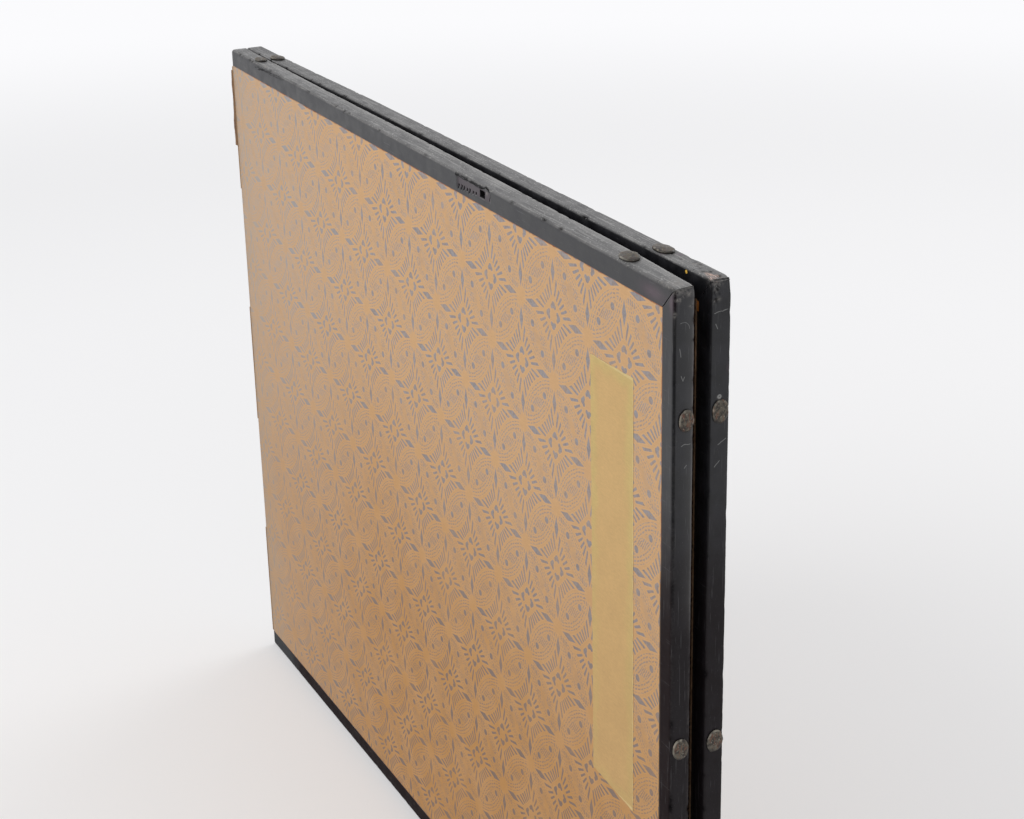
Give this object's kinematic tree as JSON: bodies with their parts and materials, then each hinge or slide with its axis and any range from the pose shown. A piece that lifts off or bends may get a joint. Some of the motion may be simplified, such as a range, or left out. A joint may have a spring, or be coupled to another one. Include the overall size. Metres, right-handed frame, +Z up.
{
  "type": "folding screen",
  "caption": "Folding screen: papered leaves in black lacquered frames, joined by a paper hinge that folds both ways, free-standing on the bottom rails.",
  "frame": {"origin": "on the floor, midway along the leaves and midway between them", "axes": "+X from the hinge end to the outer ends, +Y from the left leaf's back to the right leaf's back, +Z up"},
  "size_m": [0.9205, 0.045, 0.7],
  "materials": {
    "black_lacquer": "worn black lacquer over wood, soft sheen, grey where rubbed",
    "core_wood": "planed softwood, unfinished",
    "lining_paper": "layered lining paper, matt, aged",
    "hinge_paper": "layered hinge paper, matt, aged and browned",
    "back_paper": "woodblock patterned paper, matt, tan ground with grey ink",
    "gold_leaf": "gold leaf squares on paper, soft metallic sheen",
    "brocade": "silk brocade, brown with a small gold figure",
    "slip_paper": "plain olive brown paper slip, matt",
    "stud_metal": "hammered, patinated dark bronze brown",
    "nail_iron": "plain forged iron"
  },
  "bodies": {
    "left_leaf": {"left_back_lining": "lining_paper", "left_back_paper": "back_paper", "left_back_slip": "slip_paper", "left_bottom_nails": "nail_iron", "left_bottom_rail": "black_lacquer", "left_brocade_bottom": "brocade", "left_brocade_outer": "brocade", "left_brocade_top": "brocade", "left_core_bottom_bar": "core_wood", "left_core_cross_1": "core_wood", "left_core_cross_2": "core_wood", "left_core_cross_3": "core_wood", "left_core_hinge_bar": "core_wood", "left_core_outer_bar": "core_wood", "left_core_top_bar": "core_wood", "left_core_upright_1": "core_wood", "left_core_upright_2": "core_wood", "left_core_upright_3": "core_wood", "left_edge_paper": "hinge_paper", "left_face_lining": "lining_paper", "left_gold_ground": "gold_leaf", "left_outer_stile": "black_lacquer", "left_rail_studs": "stud_metal", "left_stile_studs": "stud_metal", "left_top_rail": "black_lacquer"},
    "hinge_papers_right_edge": {"hinge_paper_2": "hinge_paper", "hinge_paper_4": "hinge_paper"},
    "right_leaf": {"right_back_lining": "lining_paper", "right_back_paper": "back_paper", "right_bottom_nails": "nail_iron", "right_bottom_rail": "black_lacquer", "right_brocade_bottom": "brocade", "right_brocade_outer": "brocade", "right_brocade_top": "brocade", "right_core_bottom_bar": "core_wood", "right_core_cross_1": "core_wood", "right_core_cross_2": "core_wood", "right_core_cross_3": "core_wood", "right_core_hinge_bar": "core_wood", "right_core_outer_bar": "core_wood", "right_core_top_bar": "core_wood", "right_core_upright_1": "core_wood", "right_core_upright_2": "core_wood", "right_core_upright_3": "core_wood", "right_edge_paper": "hinge_paper", "right_face_lining": "lining_paper", "right_gold_ground": "gold_leaf", "right_outer_stile": "black_lacquer", "right_rail_studs": "stud_metal", "right_stile_studs": "stud_metal", "right_top_rail": "black_lacquer"},
    "hinge_papers_left_edge": {"hinge_paper_1": "hinge_paper", "hinge_paper_3": "hinge_paper", "hinge_paper_5": "hinge_paper", "torn_hinge_paper": "hinge_paper"}
  },
  "joints": [
    {"name": "front_fold", "type": "hinge", "parent": "left_leaf", "child": "hinge_papers_right_edge", "pos_m": [-0.4549, 0, 0.349], "axis": [0, 0, 1], "range_deg": [-0.77, 179.23]},
    {"name": "back_fold", "type": "hinge", "parent": "hinge_papers_right_edge", "child": "right_leaf", "pos_m": [-0.45501, 0.0168, 0.349], "axis": [0, 0, 1], "range_deg": [0, 180]},
    {"name": "left_edge_papers_turn", "type": "hinge", "parent": "left_leaf", "child": "hinge_papers_left_edge", "pos_m": [-0.45501, -0.0168, 0.349], "axis": [0, 0, 1], "range_deg": [0, 180]}
  ],
  "couplings": [
    {"joint": "left_edge_papers_turn", "follows": "back_fold", "ratio": 1}
  ]
}
